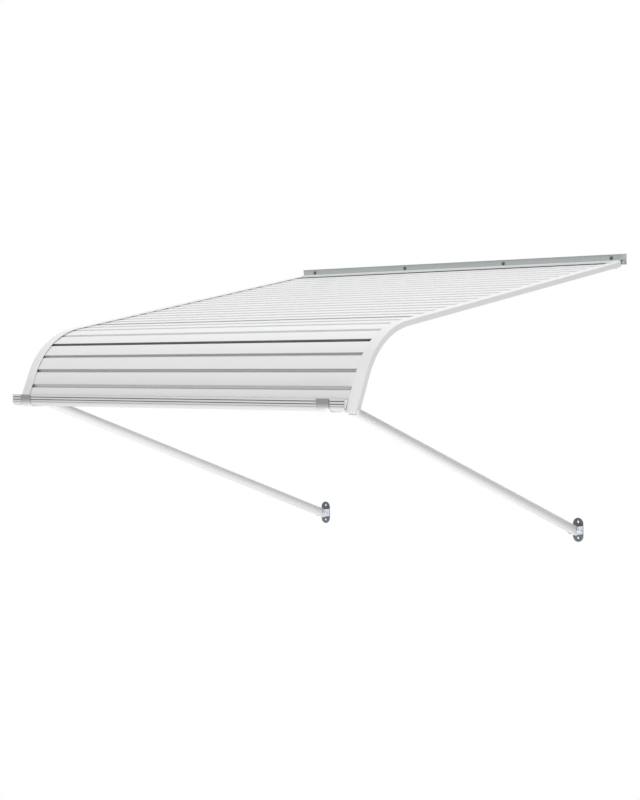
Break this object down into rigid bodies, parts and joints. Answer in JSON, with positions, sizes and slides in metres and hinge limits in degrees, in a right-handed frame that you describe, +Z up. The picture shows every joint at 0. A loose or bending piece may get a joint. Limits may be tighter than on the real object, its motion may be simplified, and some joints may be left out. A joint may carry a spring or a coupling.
{
  "type": "aluminum door canopy",
  "caption": "Wall canopy for a door: interlocking slats run down two curved side channels to a grooved front bar, propped by two tubular arms with pivoting wall feet.",
  "frame": {"origin": "on the wall plane at the back face of the wall rail, level with the top of the side channels, in the middle of the canopy's width", "axes": "+X along the wall to the right as seen from the front, +Y into the wall, +Z up; the canopy stands out towards -Y"},
  "size_m": [1.186, 1.0928, 0.7564],
  "materials": {
    "white_paint": "semi-gloss",
    "mill_aluminium": "satin",
    "clamp_metal": "satin",
    "galvanised_steel": "dull",
    "screw_steel": "bright"
  },
  "bodies": {
    "wall_rail": {"wall_rail": "mill_aluminium", "rail_screw_1": "screw_steel", "rail_screw_2": "screw_steel", "rail_screw_3": "screw_steel", "rail_screw_4": "screw_steel"},
    "canopy": {"hinge_bar": "white_paint", "left_frame": "white_paint", "right_frame": "white_paint", "left_frame_screw": "screw_steel", "right_frame_screw": "screw_steel", "slat_stop_screw": "screw_steel", "slat_01": "white_paint", "slat_02": "white_paint", "slat_03": "white_paint", "slat_04": "white_paint", "slat_05": "white_paint", "slat_06": "white_paint", "slat_07": "white_paint", "slat_08": "white_paint", "slat_09": "white_paint", "slat_10": "white_paint", "slat_11": "white_paint", "slat_12": "white_paint", "slat_13": "white_paint", "slat_14": "white_paint", "slat_15": "white_paint", "slat_16": "white_paint", "slat_17": "white_paint", "slat_18": "white_paint", "slat_19": "white_paint", "slat_20": "white_paint", "slat_21": "white_paint", "slat_22": "white_paint", "slat_23": "white_paint", "slat_24": "white_paint", "slat_25": "white_paint", "slat_26": "white_paint", "slat_27": "white_paint", "front_bar": "white_paint", "left_clamp": "clamp_metal", "right_clamp": "clamp_metal", "left_clamp_bolt": "screw_steel", "left_clamp_nut": "screw_steel", "right_clamp_bolt": "screw_steel", "right_clamp_nut": "screw_steel"},
    "left_arm": {"left_arm": "white_paint"},
    "right_arm": {"right_arm": "white_paint"},
    "left_foot": {"left_foot": "galvanised_steel", "left_foot_bolt": "screw_steel", "left_foot_nut": "screw_steel"},
    "right_foot": {"right_foot": "galvanised_steel", "right_foot_bolt": "screw_steel", "right_foot_nut": "screw_steel"}
  },
  "joints": [
    {"name": "canopy_hinge", "type": "hinge", "parent": "wall_rail", "child": "canopy", "pos_m": [0.0215, -0.00875, -0.0015], "axis": [-1, 0, 0], "range_deg": [0, 15]},
    {"name": "left_arm_pivot", "type": "hinge", "parent": "canopy", "child": "left_arm", "pos_m": [-0.5425, -1.004, -0.3569], "axis": [1, 0, 0], "range_deg": [-65, 25]},
    {"name": "right_arm_pivot", "type": "hinge", "parent": "canopy", "child": "right_arm", "pos_m": [0.488, -1.004, -0.3569], "axis": [1, 0, 0], "range_deg": [-65, 25]},
    {"name": "left_foot_pivot", "type": "hinge", "parent": "left_arm", "child": "left_foot", "pos_m": [-0.46, -0.0176, -0.706], "axis": [1, 0, 0], "range_deg": [-60, 60]},
    {"name": "right_foot_pivot", "type": "hinge", "parent": "right_arm", "child": "right_foot", "pos_m": [0.44, -0.0176, -0.706], "axis": [1, 0, 0], "range_deg": [-60, 60]}
  ]
}
